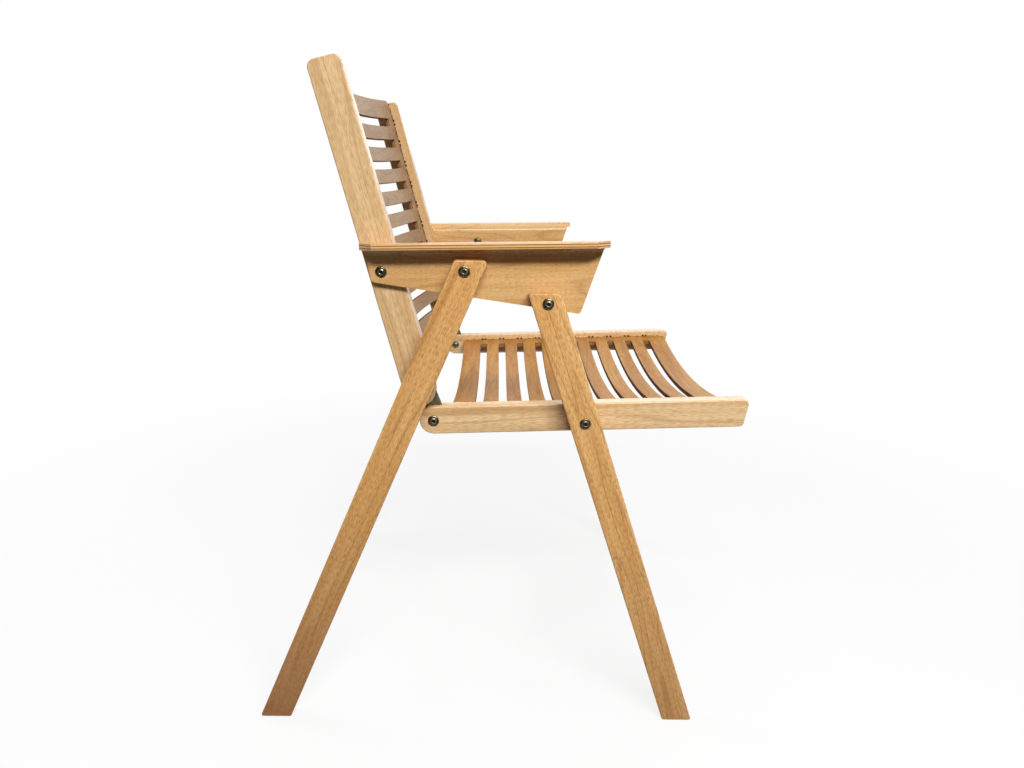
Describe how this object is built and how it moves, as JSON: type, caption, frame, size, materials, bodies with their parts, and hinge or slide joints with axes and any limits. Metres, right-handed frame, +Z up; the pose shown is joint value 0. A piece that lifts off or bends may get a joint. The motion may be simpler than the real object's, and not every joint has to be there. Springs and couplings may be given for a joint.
{
  "type": "folding armchair",
  "caption": "Folding beech armchair with a bowed slotted plywood seat and back, L-shaped plywood armrests, splayed flat legs and domed pivot bolts.",
  "frame": {"origin": "on the floor under the middle of the chair's outline as it stands open", "axes": "+X is the way the chair faces, +Y is towards the sitter's left, +Z is up"},
  "size_m": [0.6362, 0.5916, 0.8523],
  "materials": {
    "leg_beech": "clear-lacquered orange beech with fine dark flecks",
    "frame_beech": "clear-lacquered pale beech with fine dark flecks",
    "panel_plywood": "clear-lacquered moulded beech plywood, dark slot edges",
    "arm_plywood": "glossy clear-lacquered moulded beech plywood",
    "dark_brass": "dark antique brass",
    "plate_steel": "olive-grey passivated steel"
  },
  "bodies": {
    "back": {"back_post_right": "frame_beech", "back_post_left": "frame_beech", "back_panel": "panel_plywood", "arm_bolt_right": "dark_brass", "arm_bolt_left": "dark_brass", "hinge_pin_right": "dark_brass", "hinge_pin_left": "dark_brass"},
    "arms": {"armrest_right": "arm_plywood", "armrest_left": "arm_plywood", "rear_leg_bolt_right": "dark_brass", "rear_leg_bolt_left": "dark_brass", "rear_leg_sleeve_nut_right": "dark_brass", "rear_leg_sleeve_nut_left": "dark_brass", "rear_leg_washer_right": "plate_steel", "rear_leg_washer_left": "plate_steel", "front_leg_bolt_right": "dark_brass", "front_leg_bolt_left": "dark_brass", "front_leg_sleeve_nut_right": "dark_brass", "front_leg_sleeve_nut_left": "dark_brass", "front_leg_washer_right": "plate_steel", "front_leg_washer_left": "plate_steel"},
    "seat": {"seat_rail_right": "frame_beech", "seat_rail_left": "frame_beech", "seat_panel": "panel_plywood", "hinge_plate_right": "plate_steel", "hinge_plate_left": "plate_steel", "plate_bolt_right": "dark_brass", "plate_bolt_left": "dark_brass", "plate_cap_nut_right": "dark_brass", "plate_cap_nut_left": "dark_brass"},
    "front_legs": {"front_leg_right": "leg_beech", "front_leg_left": "leg_beech", "front_stretcher": "leg_beech", "seat_pivot_bolt_right": "dark_brass", "seat_pivot_bolt_left": "dark_brass", "seat_pivot_spacer_right": "plate_steel", "seat_pivot_spacer_left": "plate_steel"},
    "rear_legs": {"rear_leg_right": "leg_beech", "rear_leg_left": "leg_beech", "rear_stretcher": "leg_beech"}
  },
  "joints": [
    {"name": "arm_fold", "type": "hinge", "parent": "back", "child": "arms", "pos_m": [-0.14694, 0, 0.60524], "axis": [0, -1, 0], "range_deg": [0, 102.51]},
    {"name": "seat_fold", "type": "hinge", "parent": "back", "child": "seat", "pos_m": [-0.09845, 0, 0.45302], "axis": [0, -1, 0], "range_deg": [0, 103.11]},
    {"name": "front_leg_fold", "type": "hinge", "parent": "arms", "child": "front_legs", "pos_m": [0.0549, 0, 0.57376], "axis": [0, -1, 0], "range_deg": [-105.99, 0]},
    {"name": "rear_leg_fold", "type": "hinge", "parent": "arms", "child": "rear_legs", "pos_m": [-0.04558, 0, 0.61029], "axis": [0, -1, 0], "range_deg": [-64.27, 0]}
  ],
  "couplings": [
    {"joint": "seat_fold", "follows": "arm_fold", "ratio": 1.0057},
    {"joint": "front_leg_fold", "follows": "arm_fold", "ratio": -1.0338},
    {"joint": "rear_leg_fold", "follows": "arm_fold", "ratio": -0.62687}
  ]
}
